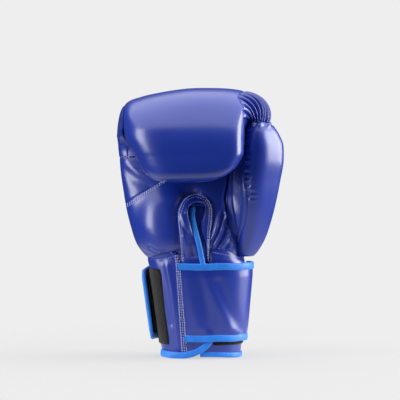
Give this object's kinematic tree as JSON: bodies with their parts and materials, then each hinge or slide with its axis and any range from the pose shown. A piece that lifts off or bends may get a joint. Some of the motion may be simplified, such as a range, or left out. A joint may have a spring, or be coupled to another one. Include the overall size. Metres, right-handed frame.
{
  "type": "boxing_glove",
  "caption": "Right-hand training boxing glove in royal blue synthetic leather with azure bindings, an open palm slit and a hook-and-loop wrist strap.",
  "frame": {"origin": "centre of the bounding box's bottom, on the surface the cuff stands on", "axes": "+Z from the cuff to the fist; -Y out of the palm side; +X towards the thumb"},
  "size_m": [0.1639, 0.1417, 0.27],
  "materials": {
    "glove_leather": "gloss",
    "azure_binding": "satin",
    "loop_tape": "matte",
    "hook_tape": "matte",
    "padding_foam": "matte",
    "lining_cloth": "matte"
  },
  "bodies": {
    "glove": {"back_hand_foam": "padding_foam", "cuff_cover": "glove_leather", "cuff_edge_binding": "azure_binding", "cuff_foam": "padding_foam", "cuff_left_flap": "glove_leather", "cuff_lining": "lining_cloth", "finger_lining_inner": "lining_cloth", "finger_lining_outer": "lining_cloth", "finger_side_panel": "glove_leather", "fingertip_foam": "padding_foam", "fist_cover": "glove_leather", "grip_bar": "glove_leather", "hand_lining_back": "lining_cloth", "hand_lining_palm": "lining_cloth", "knuckle_foam": "padding_foam", "little_finger_side_panel": "glove_leather", "loop_band": "loop_tape", "palm_heel_foam": "padding_foam", "palm_panel": "glove_leather", "ruched_thumb_gusset": "glove_leather", "seam_band": "glove_leather", "side_gore": "glove_leather", "slit_binding": "azure_binding", "slit_facing": "glove_leather", "thumb_side_panel": "glove_leather", "thumb_web_panel": "glove_leather"},
    "thumb": {"thumb_foam": "padding_foam", "thumb_inner_panel": "glove_leather", "thumb_lining_inner": "lining_cloth", "thumb_lining_outer": "lining_cloth", "thumb_outer_panel": "glove_leather"},
    "strap_front": {"strap_front_bottom_binding": "azure_binding", "strap_front_leather": "glove_leather", "strap_front_top_binding": "azure_binding"},
    "strap_back": {"strap_back_bottom_binding": "azure_binding", "strap_back_hook_patch": "hook_tape", "strap_back_leather": "glove_leather", "strap_back_top_binding": "azure_binding"},
    "strap_tip": {"strap_tip_binding": "azure_binding", "strap_tip_hook_patch": "hook_tape", "strap_tip_leather": "glove_leather"}
  },
  "joints": [
    {"name": "thumb_flex", "type": "hinge", "parent": "glove", "child": "thumb", "pos_m": [0.044, 0.0041, 0.108], "axis": [0, 1, 0], "range_deg": [0, 5], "stiffness_Nm_per_rad": 3},
    {"name": "strap_lift", "type": "hinge", "parent": "glove", "child": "strap_front", "pos_m": [-0.01247, -0.02068, 0.017], "axis": [0.0379, 0.0428, -0.9984], "range_deg": [0, 40]},
    {"name": "strap_unwrap", "type": "hinge", "parent": "strap_front", "child": "strap_back", "pos_m": [0.04691, 0.0131, 0.017], "axis": [-0.0872, 0, -0.9962], "range_deg": [0, 100]},
    {"name": "strap_tab_peel", "type": "hinge", "parent": "strap_back", "child": "strap_tip", "pos_m": [-0.03461, 0.03815, 0.017], "axis": [0.1047, -0.0316, -0.994], "range_deg": [0, 90]}
  ],
  "couplings": [
    {"joint": "strap_lift", "follows": "strap_unwrap", "ratio": 0.4}
  ]
}
